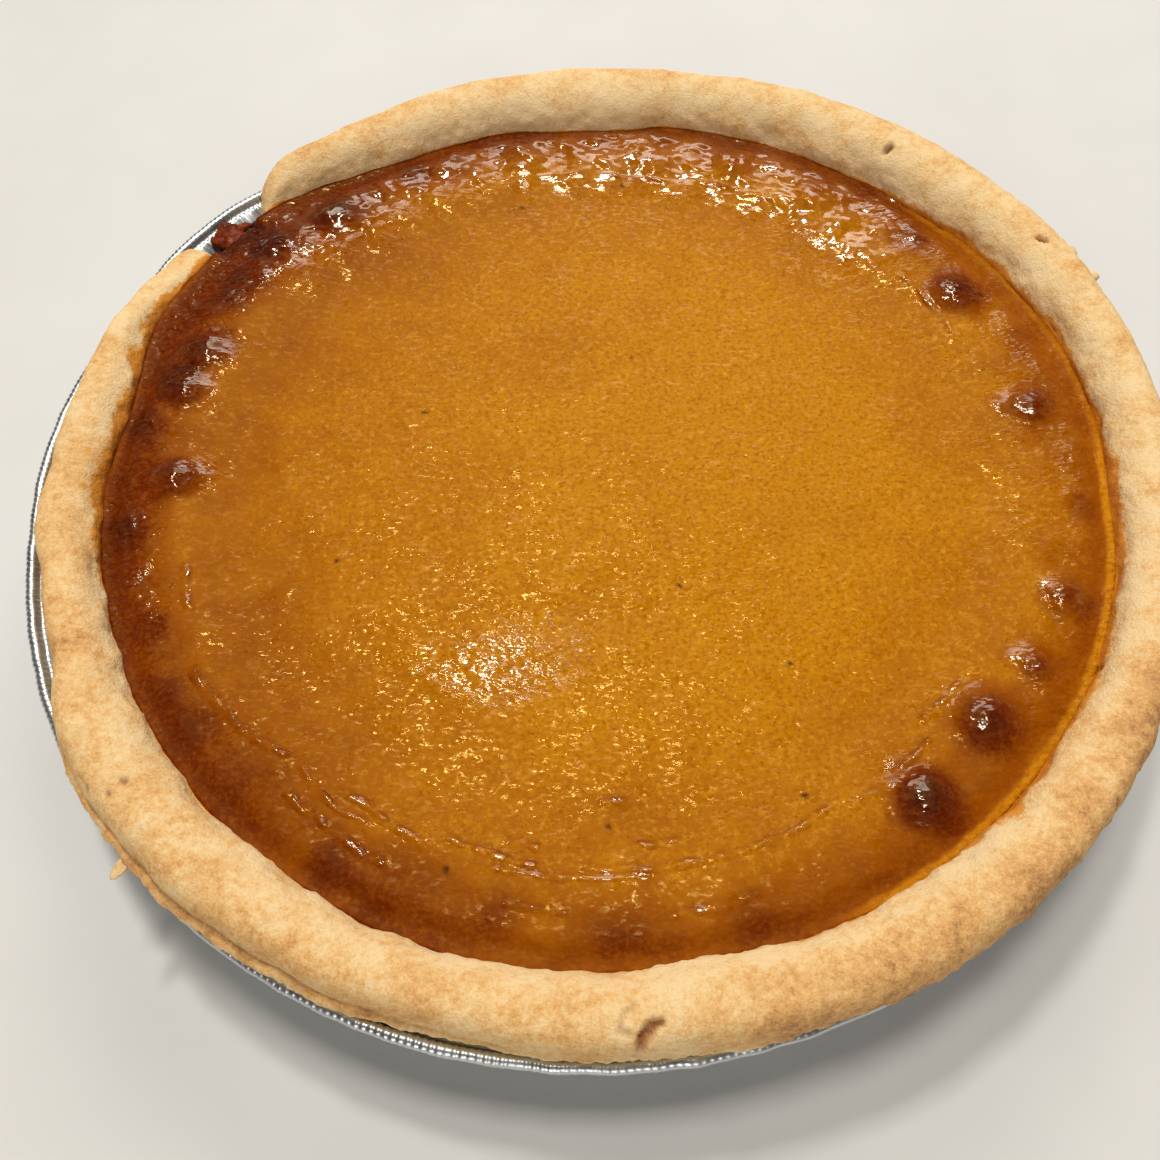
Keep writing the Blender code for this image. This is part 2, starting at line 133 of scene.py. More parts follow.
# The notch: (radius in mm, angle of its right side, angle of its left side)
NOTCH_SIDES = (
    (131.0, 140.7, 144.4), (136.6, 139.9, 144.6), (141.2, 138.4, 144.9), (144.6, 136.8, 145.3),
    (147.5, 135.8, 146.0), (149.8, 134.9, 147.5), (152.0, 133.4, 151.4), (160.0, 129.6, 156.8),
)
NOTCH_MIDDLE_RADIUS = 147.0
NOTCH_LEFT_ROUNDING = 5.0 * MM
NOTCH_RIGHT_SLOPE = 11.0 * MM
NOTCH_WARP = 15.0

# Browner places on the rim, and paler places on the near side's lip and outer wall whose paleness is painted light:
# ((angles and softness), (share of the way across), amount)
BROWN_AND_PAINTED_LIGHT_PLACES = (
    # The first two places are painted light: they pale the near lip and outer wall, which lie in the dome's shade
    ((205, 280, 10), (0.92, 0.97), -0.40),
    ((200, 340, 12), (0.66, 0.82), -0.05),
    ((196, 262, 14), (0.05, 0.30), 0.10),
    ((284, 330, 12), (0.25, 0.45), 0.28),
    ((290, 330, 10), (0.58, 0.72), 0.08),
)
# How far across the rim the filling stained it: ((angles and softness), share)
LEAST_STAIN = 0.03
STAINS = (
    ((312, 352, 14), 0.12),
    ((143, 188, 10), 0.19),
    ((-4, 40, 12), 0.06),
    ((137, 142, 4), 0.10),
    ((288, 312, 10), 0.05),
)
# Noise on the rim and its lip: (amount in mm, cell in mm, seed)
RIM_LUMPS = ((0.34, 15, 11), (0.20, 6.5, 12), (0.11, 2.8, 13), (0.05, 1.4, 14))
INNER_FRAY = ((0.38, 4.0, 19), (0.22, 1.6, 20), (0.9, 10, 24))
LIP_FRAY = ((0.55, 3.4, 16), (0.40, 1.4, 17))
# Torn pits in the rim: (angle, radius in mm, half length, half width, depth in mm, turn)
PITS = (
    (272.9, 147.2, 2.6, 1.5, 1.4, 50),
    (271.4, 143.0, 2.5, 0.6, 0.45, 41),
    (270.6, 145.9, 1.8, 0.6, 0.45, 69),
    (271.0, 147.5, 2.0, 0.6, 0.45, 172),
    (272.2, 149.3, 2.0, 1.3, 1.3, 66),
    (273.6, 146.0, 1.6, 1.0, 0.9, 20),
    (271.4, 152.0, 1.3, 0.7, 1.0, 20),
    (50.4, 140.9, 1.9, 1.0, 1.8, 70),
    (28.0, 146.4, 2.2, 1.0, 2.0, 35),
    (221.0, 143.9, 1.1, 0.9, 0.8, 20),
    (221.1, 147.9, 0.9, 0.8, 0.7, 20),
    (219.2, 151.3, 0.7, 0.6, 0.8, 0),
    (318.0, 151.5, 2.2, 0.7, 1.2, 60),
    (331.5, 134.6, 0.8, 0.7, 0.9, 0),
)
# Where pits fade out, as a share of the way across
PIT_FADE = (0.72, 0.84)
# Loose flakes at the lip: (angle, radius in mm, rim height in mm, length, width, turn)
FLAKES = (
    (26.9, 156.5, 5.4, 5.4, 4.6, 80),
    (28.4, 156.8, 5.8, 3.4, 3.0, 30),
    (22.9, 156.2, 5.2, 5.2, 4.4, 78),
    (21.2, 155.3, 4.8, 3.8, 3.0, 60),
    (225.2, 156.4, 2.0, 6.0, 3.0, 102),
)

# Filling
CENTRE_SINK = 1.4 * MM
PUFF_HEIGHT = 1.7 * MM
PUFF_START = 96.0 * MM
PUFF_END = 118.0 * MM
PUFF_FALL = 126.0 * MM
# Sides of the filling: (angle from, to, softness)
FAR_SIDE = (48, 138, 14)
RIGHT_SIDE = (325, 405, 12)
LEFT_SIDE = (140, 200, 10)
RIGHT_MIDDLE = (-12, 46, 14)
BY_THE_NOTCH = (112, 146, 8)
# Where the filling's very edge stayed orange: ((angles and softness), share)
FRESH_EDGES = (((298, 356, 8), 1.0), ((148, 188, 6), 0.22), ((-4, 40, 10), 0.5))
# Soft oval areas in metres: (x, y, half width, half depth, amount)
WET_AREAS = ((-0.008, -0.050, 0.066, 0.046, 0.42), (-0.029, -0.061, 0.017, 0.009, 0.40))
PALE_AREA = (0.052, 0.012, 0.045, 0.050, -0.07)
RIPPLED_AREA = (0.01, -0.035, 0.055, 0.045, 0.30)
# Rings of points on the filling: (up to this radius in mm, step between rings), then (up to it, points)
RING_STEPS = ((60.0, 1.5), (104.0, 1.15), (133.4, 0.64))
RING_COUNTS = ((14.0, 112), (30.0, 225), (60.0, 450), (134.0, 900))
# Baked blisters: (angle, radius in mm, half width, height in mm, how dark from 0 to 1)
BLISTERS = (
    (28.7, 119.1, 9.0, 2.6, 0.8),
    (7.5, 118.7, 8.0, 2.2, 0.6),
    (319.2, 119.4, 9.6, 3.0, 1.0),
    (306.7, 120.9, 9.0, 2.8, 1.0),
    (338.6, 123.8, 6.5, 1.4, 0.5),
    (328.6, 121.7, 6.0, 0.9, 0.45),
    (168.0, 121.2, 8.5, 2.0, 0.7),
    (161.5, 120.6, 8.5, 2.0, 0.7),
    (182.8, 116.0, 8.5, 2.4, 0.75),
    (131.5, 123.9, 8.5, 2.0, 0.75),
    (140.9, 131.3, 7.5, 1.6, 0.7),
    (102.3, 119.6, 9.0, 1.8, 0.0),
    (68.9, 121.2, 9.0, 1.6, 0.05),
    (84.0, 123.0, 9.0, 1.3, 0.0),
    (55.0, 121.0, 9.0, 1.3, 0.1),
)
# Faint brown patches: (angle, radius in mm, half width, how dark)
PATCHES = (
    (203.7, 124.9, 8, 0.30), (212.6, 126.1, 8, 0.22), (218.3, 125.5, 9, 0.30),
    (241.0, 128.6, 10, 0.50), (258.6, 125.2, 8, 0.35), (270.9, 127.6, 9, 0.45),
    (285.0, 128.5, 9, 0.30), (352.0, 126.0, 8, 0.25), (18.0, 126.0, 8, 0.25),
    (40.0, 124.0, 9, 0.45), (118.0, 125.0, 9, 0.35), (150.0, 124.0, 12, 0.55),
    (174.0, 128.0, 9, 0.45), (190.0, 127.0, 9, 0.40),
)
# Fine creases round the sunken middle: (angle from, to, radius from, to in mm, height in mm)
CREASES = (
    (211, 223, 119.5, 117.0, 0.30),
    (223, 229, 116.5, 113.5, 0.34),
    (229, 243, 113.5, 117.0, 0.30),
    (232, 246, 120.5, 121.5, 0.22),
    (236, 249, 111.5, 114.5, 0.34),
    (250, 262, 111.0, 112.5, 0.32),
    (254, 276, 115.0, 114.0, 0.28),
    (257, 262, 107.5, 108.5, 0.28),
    (258, 266, 121.5, 122.5, 0.26),
    (266, 287, 112.0, 113.0, 0.34),
    (267, 273, 96.5, 96.0, 0.22),
    (276, 286, 123.5, 122.5, 0.24),
    (272, 279, 106.5, 107.0, 0.30),
    (286, 298, 112.5, 110.5, 0.30),
    (299, 313, 113.0, 112.0, 0.26),
    (314, 322, 107.5, 109.0, 0.22),
    (196, 205, 113.0, 116.0, 0.20),
    (22, 36, 110.5, 111.0, 0.30),
    (60, 74, 112.0, 111.0, 0.20),
    (78, 88, 109.0, 110.0, 0.22),
    (92, 100, 112.0, 111.0, 0.18),
)
# Dark specks a millimetre or so across: (angle, radius in mm, half width in mm)
SPECKS = (
    (203.5, 76.1, 0.8), (160.5, 53.4, 0.7), (76.8, 38.2, 0.7), (186.4, 36.4, 0.6),
    (269.9, 101.7, 0.8), (295.4, 105.4, 0.8), (306.6, 76.3, 0.7), (296.0, 43.5, 0.6),
    (252.0, 118.0, 0.9), (104.0, 101.0, 0.9), (86.0, 106.0, 0.8),
)
# The filling that ran out through the notch: (radius, rim height) in mm, and (angle from, to, softness)
SPILL_SECTION = ((128.0, 1.3), (134.0, 1.2), (138.0, 0.8), (141.2, -0.2), (143.2, -2.2), (144.6, -3.9))
SPILL_EDGE_RADIUS = 144.6 * MM
SPILL_ZONE = (138.8, 144.6, 0.9)
# Burnt filling on the foil's edge: (angle, radius in mm, rim height in mm, length, width, height, turn)
BURNT_LUMPS = (
    (141.4, 146.6, -1.2, 7.0, 8.4, 2.6, 0),
    (142.9, 146.4, -1.6, 6.0, 4.4, 2.4, 20),
    (139.6, 145.4, -1.8, 7.6, 3.4, 2.4, 75),
    (141.0, 149.2, -0.8, 3.6, 4.6, 1.6, 0),
    (141.6, 143.8, -1.6, 6.0, 9.0, 3.6, 0),
)

# Fineness of the meshes
COLUMNS = 1400
INSIDE_POINTS = 5
TOP_POINTS = 46
DOME_STEPS = 72
GRID = 1440
SHELL_SEGMENTS = 240
# Extra columns at the rim's ends, in degrees from the end
END_STEPS = np.array([0.0, 0.01, 0.04, 0.1, 0.18, 0.28, 0.4, 0.53, 0.67, 0.82, 0.98])
END_SPAN = 1.2
# Smallest share of its height that the rim keeps at the notch
LEAST_HEIGHT = 0.0004
# First seeds of the small lumps
FLAKE_SEED = 50
BURNT_SEED = 60


def direction(degrees):
    """Unit vector in the plan at an angle."""
    return Vector((math.cos(math.radians(degrees)), math.sin(math.radians(degrees)), 0.0))


def angle_between(a, b):
    """How far apart two angles in degrees are, from 0 to 180."""
    return abs((a - b + 180.0) % 360.0 - 180.0)


def bulge(degrees, bulges):
    """The sum of flat-topped bulges at an angle, in the unit of their amounts."""
    total = 0.0
    for centre, half_width, amount in bulges:
        apart = angle_between(degrees, centre)
        if apart < half_width:
            swell = 0.5 + 0.5 * math.cos(math.pi * apart / half_width)
            total += amount * (1.0 - (1.0 - swell) ** 2)
    return total


def waver(degrees, cycles, seed):
    """A smooth uneven value from about -1 to 1 that closes on itself round the pie."""
    spot = direction(degrees) * cycles
    return 1.6 * noise.noise(Vector((spot.x, spot.y, seed)))


def rim_shift(degrees):
    """How much further from the tin's axis the rim lies at an angle, as it sits off centre."""
    return direction(degrees).dot(Vector((*RIM_CENTRE, 0.0)))


def edge_radius(degrees, radius, bulges, wavers):
    """Radius from the tin's axis of an edge of the rim, with wavers as (amount, cycles, seed)."""
    uneven = sum(amount * waver(degrees, cycles, seed) for amount, cycles, seed in wavers)
    return radius + rim_shift(degrees) + bulge(degrees, bulges) * MM + uneven * EDGE_WAVER


def inner_edge(degrees):
    """Radius from the tin's axis at which filling and pastry meet."""
    return edge_radius(degrees, RIM_INNER_RADIUS, INNER_EDGE_BULGES, ((0.7, 4.0, 3.0), (0.4, 11.0, 5.0)))


def outer_edge(degrees):
    """Radius from the tin's axis of the rim's outermost lip."""
    return edge_radius(degrees, RIM_OUTER_RADIUS, OUTER_EDGE_BULGES, ((0.7, 5.0, 7.0), (0.6, 17.0, 9.0)))


def smooth_step(low, high, value):
    """0 below low, 1 above high, and a smooth rise between them."""
    share = np.clip((value - low) / (high - low), 0.0, 1.0)
    return share * share * (3.0 - 2.0 * share)


def rough(points, cell, seed):
    """Smooth noise from about -1 to 1 at each point, with features about one cell wide."""
    draw = np.random.default_rng(seed)
    order = draw.permutation(256)
    slopes = draw.normal(size=(256, 3))
    slopes /= np.linalg.norm(slopes, axis=1)[:, None]
    place = np.asarray(points) / cell + 997.0
    base = np.floor(place).astype(np.int64)
    part = place - base
    fade = part * part * part * (part * (part * 6.0 - 15.0) + 10.0)
    total = np.zeros(len(place))
    for corner in np.ndindex(2, 2, 2):
        at = (base + corner) & 255
        pick = order[(order[(order[at[:, 0]] + at[:, 1]) & 255] + at[:, 2]) & 255]
        weight = np.prod(np.where(corner, fade, 1.0 - fade), axis=1)
        total += weight * np.einsum("ij,ij->i", slopes[pick], part - corner)
    return 1.7 * total


def mixed(points, parts):
    """The sum of rough noises, each given as (amount, cell in mm, seed)."""
    return sum(amount * rough(points, cell * MM, seed) for amount, cell, seed in parts)


def polar(points):
    """Angle in degrees and radius in metres of points, about the tin's axis."""
    return np.degrees(np.arctan2(points[:, 1], points[:, 0])) % 360.0, np.hypot(points[:, 0], points[:, 1])


def about_rim(points):
    """Angle in degrees and radius in millimetres of points, about the rim's own centre."""
    angle, radius = polar(points[:, :2] - RIM_CENTRE)
    return angle, radius / MM


def rim_place(degrees, radius_mm):
    """The x and y of a place given about the rim's own centre."""
    away = direction(degrees) * (radius_mm * MM)
    return away.x + RIM_CENTRE[0], away.y + RIM_CENTRE[1]


def window(angle, low, high, soft):
    """1 between two angles, and 0 further than soft outside them."""
    middle = 0.5 * (low + high)
    half = 0.5 * (high - low)
    return 1.0 - smooth_step(half, half + soft, angle_between(angle, middle))


def zones(angle, table):
    """The sum of a table's amounts at each angle: ((from, to, softness), amount)."""
    return sum(amount * window(angle, *zone) for zone, amount in table)


def glow(x, y, area):
    """A soft oval area: (x, y, half width, half depth, amount)."""
    x0, y0, wide, deep, amount = area
    return amount * np.exp(-(((x - x0) / wide) ** 2) - ((y - y0) / deep) ** 2)


def new_piece(name, points, faces, material):
    """A smooth mesh piece that rides with the pie."""
    mesh = bpy.data.meshes.new(name)
    mesh.from_pydata([tuple(p) for p in np.asarray(points).tolist()], [], faces)
    mesh.validate()
    mesh.shade_smooth()
    piece = bpy.data.objects.new(name, mesh)
    bpy.context.scene.collection.objects.link(piece)
    piece.data.materials.append(material)
    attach(piece, "root")
    return piece


def paint(piece, name, values):
    """Keeps a number from 0 to 1 for each point of a piece, for its material to read."""
    kept = piece.data.attributes.new(name, "FLOAT", "POINT")
    kept.data.foreach_set("value", np.clip(values, 0.0, 1.0).astype(np.float32))


def turned(rings, segments):
    """Points of rings about the tin's axis, each of a radius and a height or of one for every point."""
    turn = np.arange(segments) * 2.0 * np.pi / segments
    x, y = np.cos(turn), np.sin(turn)
    return np.concatenate([np.stack([radius * x, radius * y, height + 0.0 * x], axis=1) for radius, height in rings])


def grid_faces(rows, columns):
    """Faces between neighbouring rows of points, each row closed on itself."""
    faces = []
    for r in range(rows - 1):
        here, there = r * columns, (r + 1) * columns
        for c in range(columns):
            d = (c + 1) % columns
            faces.append((here + c, here + d, there + d, there + c))
    return faces


def end_caps(rows, columns):
    """Faces that close the first and the last row of a grid."""
    last = (rows - 1) * columns
    return [tuple(range(columns - 1, -1, -1)), tuple(range(last, last + columns))]


# Materials


def srgb(*screen):
    """Linear colour of a screen colour from 0 to 255."""
    shares = [x / 255.0 for x in screen]
    return (*(x / 12.92 if x < 0.0405 else ((x + 0.055) / 1.055) ** 2.4 for x in shares), 1.0)


class Surface:
    """A node material and short ways to add to it."""

    def __init__(self, name, **sockets):
        self.material = bpy.data.materials.new(name)
        self.material.use_nodes = True
        tree = self.material.node_tree
        self.nodes, self.links = tree.nodes, tree.links
        self.shader = self.nodes["Principled BSDF"]
        for socket, value in sockets.items():
            self.shader.inputs[socket.replace("_", " ")].default_value = value
        self.place = self.node("TexCoord").outputs["Object"]

    def feed(self, socket, value):
        """Links an output to a socket, or sets the socket to a value."""
        if isinstance(value, bpy.types.NodeSocket):
            self.links.new(value, socket)
        else:
            socket.default_value = value

    def node(self, kind, values=None, **settings):
        """A new node with its settings and inputs."""
        made = self.nodes.new("ShaderNode" + kind)
        for key, value in settings.items():
            setattr(made, key, value)
        for key, value in (values or {}).items():
            self.feed(made.inputs[key], value)
        return made

    def painted(self, name):
        """The number that a piece keeps for each point."""
        return self.node("Attribute", attribute_name=name).outputs["Fac"]

    def noise(self, size_mm, detail=3.0, roughness=0.55, stretch=None):
        """Noise with features of about this size."""
        place = self.place
        if stretch:
            place = self.node("Mapping", {"Vector": place, "Scale": stretch}).outputs["Vector"]
        values = {"Vector": place, "Scale": 1000.0 / size_mm, "Detail": detail, "Roughness": roughness}
        return self.node("TexNoise", values).outputs["Fac"]

    def cells(self, size_mm):
        """Distance to the nearest of scattered points, in shares of a cell."""
        values = {"Vector": self.place, "Scale": 1000.0 / size_mm}
        return self.node("TexVoronoi", values).outputs["Distance"]

    def joined(self, operation, first, *others):
        """Numbers joined by one operation, one after another."""
        for other in others:
            first = self.node("Math", {0: first, 1: other}, operation=operation).outputs[0]
        return first

    def plus(self, *numbers):
        """The sum of numbers."""
        return self.joined("ADD", *numbers)

    def times(self, *numbers):
        """The product of numbers."""
        return self.joined("MULTIPLY", *numbers)

    def reach(self, value, low, high, start=0.0, end=1.0):
        """Moves a value from one range to another, kept inside it."""
        values = {"Value": value, "From Min": low, "From Max": high, "To Min": start, "To Max": end}
        return self.node("MapRange", values, clamp=True).outputs["Result"]

    def ramp(self, value, *stops):
        """Colour along a ramp of (place, colour) stops."""
        made = self.node("ValToRGB", {"Fac": value})
        ramp = made.color_ramp
        ramp.elements[0].position, ramp.elements[0].color = stops[0]
        ramp.elements[1].position, ramp.elements[1].color = stops[-1]
        for place, colour in stops[1:-1]:
            ramp.elements.new(place).color = colour
        return made.outputs["Color"]

    def blend(self, share, first, second):
        """Mixes two colours."""
        return self.node("Mix", {0: share, 6: first, 7: second}, data_type="RGBA").outputs[2]

    def bump(self, height, depth_mm, under=None):
        """Fine relief of this depth, on top of other relief."""
        values = {"Height": height, "Distance": depth_mm * MM, "Strength": 1.0}
        if under is not None:
            values["Normal"] = under
        return self.node("Bump", values).outputs["Normal"]

    def show(self, socket, value):
        """Feeds a socket of the shader."""
        self.feed(self.shader.inputs[socket], value)


def filling_material():
    """Set pumpkin custard: ochre in the middle, browner outwards, burnt on its blisters, wet-skinned, with painted
    shade as thin dark lines beside its creases.
    """
    made = Surface(
        "baked_custard",
        Specular_IOR_Level=0.23,
        Specular_Tint=(1.0, 0.70, 0.22, 1.0),
        Coat_Roughness=0.07,
        Coat_IOR=1.45,
    )
    baked_and_crease_shade = made.painted("baked_and_crease_shade")
    rippled = made.painted("rippled")
    wet = made.painted("wet")
    cloud = made.reach(made.noise(26.0, 3.0), 0.3, 0.7, -0.05, 0.05)
    drift = made.reach(made.noise(7.0, 3.0), 0.3, 0.7, -0.05, 0.05)
    colour = made.ramp(
        made.plus(baked_and_crease_shade, cloud, drift),
        (0.0, srgb(197, 127, 1)),
        (0.16, srgb(182, 110, 1)),
        (0.36, srgb(150, 76, 1)),
        (0.62, srgb(106, 34, 2)),
        (1.0, srgb(66, 14, 3)),
    )
    raw = made.reach(baked_and_crease_shade, 0.30, 0.75, 1.0, 0.25)
    unbaked = made.reach(baked_and_crease_shade, 0.16, 0.40, 1.0, 0.0)
    spice = made.reach(made.cells(1.7), 0.10, 0.26, 0.6, 0.0)
    pick = made.reach(made.noise(2.6, 1.0), 0.50, 0.58)
    colour = made.blend(made.times(spice, pick, raw), colour, srgb(112, 56, 8))
    grain = made.reach(made.noise(1.2, 3.0, 0.65), 0.46, 0.66, 0.0, 0.75)
    colour = made.blend(made.times(grain, raw), colour, srgb(160, 86, 2))
    pale = made.reach(made.noise(1.7, 3.0, 0.65), 0.52, 0.72, 0.0, 0.62)
    colour = made.blend(made.times(pale, unbaked), colour, srgb(216, 154, 38))
    colour = made.blend(made.painted("speck"), colour, srgb(50, 20, 8))
    made.show("Base Color", colour)
    # Glints: small wet drops in clusters, more of them where the skin is wetter
    spread = made.plus(made.noise(1.25, 1.0, 0.5, (0.55, 1.0, 1.0)), made.times(made.plus(wet, -0.6), 0.14))
    drops = made.reach(spread, 0.48, 0.58)
    cluster = made.reach(made.noise(12.0, 3.0), 0.38, 0.58, 0.20, 1.0)
    gloss = made.times(drops, cluster, made.reach(wet, 0.0, 0.6))
    made.show("Roughness", made.reach(gloss, 0.0, 0.45, 0.62, 0.10))
    # A clear film on the wettest skin
    patches = made.reach(made.noise(4.0, 2.0), 0.38, 0.54, 0.10, 1.0)
    made.show("Coat Weight", made.times(made.reach(wet, 0.62, 0.92), patches))
    fine = made.times(made.noise(0.95, 0.6, 0.5, (0.6, 1.0, 1.0)), rippled)
    coarse = made.noise(3.8, 1.0, 0.5, (0.7, 1.0, 1.0))
    coarse = made.times(coarse, made.plus(rippled, made.reach(wet, 0.6, 1.0, 0.0, 0.35)))
    normal = made.bump(coarse, 1.1, made.bump(fine, 0.42))
    made.show("Normal", normal)
    made.show("Coat Normal", normal)
    return made.material


def pastry_material():
    """Matte baked shortcrust, browner low down outside, stained orange beside the filling, with painted light paling
    the near side's lip and outer wall.
    """
    made = Surface("baked_pastry", Roughness=0.8, Specular_IOR_Level=0.25)
    stain = made.painted("stain")
    cloud = made.reach(made.noise(11.0, 4.0, 0.6), 0.36, 0.66, -0.18, 0.24)
    fleck = made.reach(made.noise(1.9, 5.0, 0.72), 0.36, 0.68, -0.20, 0.26)
    grain = made.reach(made.noise(0.6, 2.0, 0.65), 0.35, 0.68, -0.12, 0.14)
    # The painted tone holds the pastry's browning and painted light on the near lip and outer wall
    colour = made.ramp(
        made.plus(made.painted("brown_and_painted_light"), grain, cloud, fleck),
        (0.0, srgb(249, 218, 167)),
        (0.22, srgb(244, 205, 146)),
        (0.45, srgb(236, 185, 119)),
        (0.70, srgb(216, 161, 100)),
        (1.0, srgb(172, 126, 82)),
    )
    ragged = made.reach(made.noise(2.2, 4.0, 0.65), 0.3, 0.7, -0.20, 0.20)
    seep = made.reach(made.plus(stain, ragged), 0.34, 0.56, 0.0, 0.94)
    dye = made.ramp(stain, (0.30, srgb(236, 166, 72)), (0.65, srgb(222, 138, 24)), (1.0, srgb(204, 118, 16)))
    colour = made.blend(seep, colour, dye)
    colour = made.blend(made.painted("torn"), colour, srgb(128, 64, 26))
    made.show("Base Color", colour)
    made.show("Normal", made.bump(made.noise(0.7, 3.0, 0.65), 0.18, made.bump(made.noise(2.8, 4.0, 0.65), 0.40)))
    return made.material


def foil_material():
    """Bright crimped aluminium foil."""
    made = Surface("crimped_foil", Metallic=1.0, Base_Color=(0.60, 0.62, 0.64, 1.0))
    made.show("Roughness", made.reach(made.noise(6.0, 3.0), 0.3, 0.7, 0.30, 0.46))
    made.show("Normal", made.bump(made.noise(3.0, 3.0, 0.6), 0.10))
    return made.material


def burnt_material():
    """Filling that burnt on to the foil."""
    made = Surface("burnt_custard", Roughness=0.5, Specular_IOR_Level=0.1, Coat_Weight=0.08, Coat_Roughness=0.12)
    colour = made.ramp(made.noise(2.2, 3.0), (0.35, srgb(84, 24, 2)), (0.65, srgb(142, 54, 6)))
    made.show("Base Color", colour)
    made.show("Normal", made.bump(made.noise(1.2, 3.0), 0.5))
    return made.material


# Pastry rim


def clear_of_foil(radius):
    """Rim height of the pastry's underside at a radius."""
    return np.interp(radius, *zip(*UNDERSIDE))


def along(points, count):
    """Points spread evenly along a line through the given ones."""
    points = np.asarray(points)
    steps = np.hypot(*np.diff(points, axis=0).T)
    reach = np.concatenate([[0.0], np.cumsum(steps)])
    even = np.linspace(0.0, reach[-1], count)
    return np.stack([np.interp(even, reach, column) for column in points.T], axis=1)


def top_section(degrees):
    """Radius and rim height from the filling's edge over the dome and crease to under the lip."""
    inner = inner_edge(degrees)
    lip = outer_edge(degrees)
    drop = bulge(degrees, DOME_DROPS)
    share = 1.0 - LIP_DROP_SHARE * drop
    outer = lip - LIP_STEP - bulge(degrees, LIP_STEPS) * MM
    width = outer - inner
    height = DOME_HEIGHT * (width / RIM_FULL_WIDTH) ** 0.5 + DOME_WAVER * waver(degrees, 3.0, 13.0)
    height *= 1.0 - drop
    points = []
    for k in range(DOME_STEPS + 1):
        turn = math.pi * k / DOME_STEPS
        power = 2.0 / (INNER_ROUNDNESS if turn < math.pi / 2 else OUTER_ROUNDNESS)
        across = 0.5 - 0.5 * math.copysign(abs(math.cos(turn)) ** power, math.cos(turn))
        floor = FILLING_EDGE_HEIGHT + (CREASE_HEIGHT * share - FILLING_EDGE_HEIGHT) * across
        points.append((inner + width * across, floor + height * math.sin(turn) ** power))
    ledge = points[-1][1]
    points.append((lip - 0.5 * MM, 0.5 * (ledge + LIP_HEIGHT * share) + 0.2 * MM))
    points.append((lip, LIP_HEIGHT * share))
    points.append((lip, LIP_HEIGHT * share - 0.5 * MM))
    points.append((lip - 0.4 * MM, LIP_BOTTOM_HEIGHT * share))
    return along(points, TOP_POINTS)


def rim_section(degrees):
    """The closed outline of the pastry rim at an angle, as radius and rim height."""
    top = top_section(degrees)
    lip = top[-1][0]
    under = []
    for radius, _ in UNDERSIDE[:0:-1]:
        radius = min(radius, lip - 0.7 * MM)
        under.append((radius, clear_of_foil(radius)))
    wall = np.linspace(under[-1][0], UNDERSIDE_INNER_RADIUS, 5)[1:]
    under += [(radius, clear_of_foil(radius)) for radius in wall]
    inner = top[0][0]
    start, corner = SHELL_CORNER[0], SHELL_CORNER[1] - TIN_HEIGHT
    foot = start + (SHELL_TOP_HEIGHT - corner) / (FILLING_EDGE_HEIGHT - corner) * (inner - start)
    rise = np.arange(INSIDE_POINTS) / INSIDE_POINTS
    heights = SHELL_TOP_HEIGHT + (FILLING_EDGE_HEIGHT - SHELL_TOP_HEIGHT) * rise
    inside = np.stack([foot + (inner - foot) * rise, heights], axis=1)
    return np.concatenate([inside, top, under])


def notch_side(radius_mm, column):
    """Angle of the notch's right (1) or left (2) side at a radius."""
    table = np.array(NOTCH_SIDES)
    return np.interp(radius_mm, table[:, 0], table[:, column])


def swept_rim():
    """The rim's sections from the notch's left side round to its right, and each point's way to an end."""
    angles = np.arange(GRID) * 360.0 / GRID
    table = np.array([rim_section(a) for a in angles])
    left0 = float(notch_side(NOTCH_MIDDLE_RADIUS, 2))
    right0 = float(notch_side(NOTCH_MIDDLE_RADIUS, 1)) + 360.0
    middle = np.linspace(left0 + END_SPAN, right0 - END_SPAN, COLUMNS - 2 * len(END_STEPS))
    spread = np.concatenate([left0 + END_STEPS, middle, right0 - END_STEPS[::-1]])
    by_left = np.clip(1.0 - (spread - left0) / NOTCH_WARP, 0.0, 1.0) ** 2
    by_right = np.clip(1.0 - (right0 - spread) / NOTCH_WARP, 0.0, 1.0) ** 2
    rows = table.shape[1]
    points = np.zeros((len(spread), rows, 3))
    end_distance = np.zeros((len(spread), rows))
    for j in range(rows):
        # The sections near the notch are turned until each point keeps to the notch's side
        turn = spread.copy()
        for _ in range(3):
            radius = np.interp(turn % 360.0, angles, table[:, j, 0], period=360.0)
            left = notch_side(radius / MM, 2)
            right = notch_side(radius / MM, 1) + 360.0
            turn = spread + (left - left0) * by_left + (right - right0) * by_right
        height = np.interp(turn % 360.0, angles, table[:, j, 1], period=360.0)
        from_left = np.radians(np.maximum(turn - left, 0.0)) * radius
        from_right = np.radians(np.maximum(right - turn, 0.0)) * radius
        end_distance[:, j] = np.minimum(from_left, from_right)
        left_share = np.clip(from_left / NOTCH_LEFT_ROUNDING, 0.0, 1.0)
        right_share = np.clip(from_right / NOTCH_RIGHT_SLOPE, 0.0, 1.0)
        round_off = np.sqrt(np.clip(1.0 - (1.0 - left_share) ** 2, LEAST_HEIGHT, 1.0))
        round_off *= np.clip(1.0 - (1.0 - right_share) ** 2, LEAST_HEIGHT, 1.0) ** 0.75
        base = np.maximum(clear_of_foil(radius), SHELL_TOP_HEIGHT)
        points[:, j, 0] = radius * np.cos(np.radians(turn))
        points[:, j, 1] = radius * np.sin(np.radians(turn))
        points[:, j, 2] = TIN_HEIGHT + base + (height - base) * round_off
    return points, end_distance


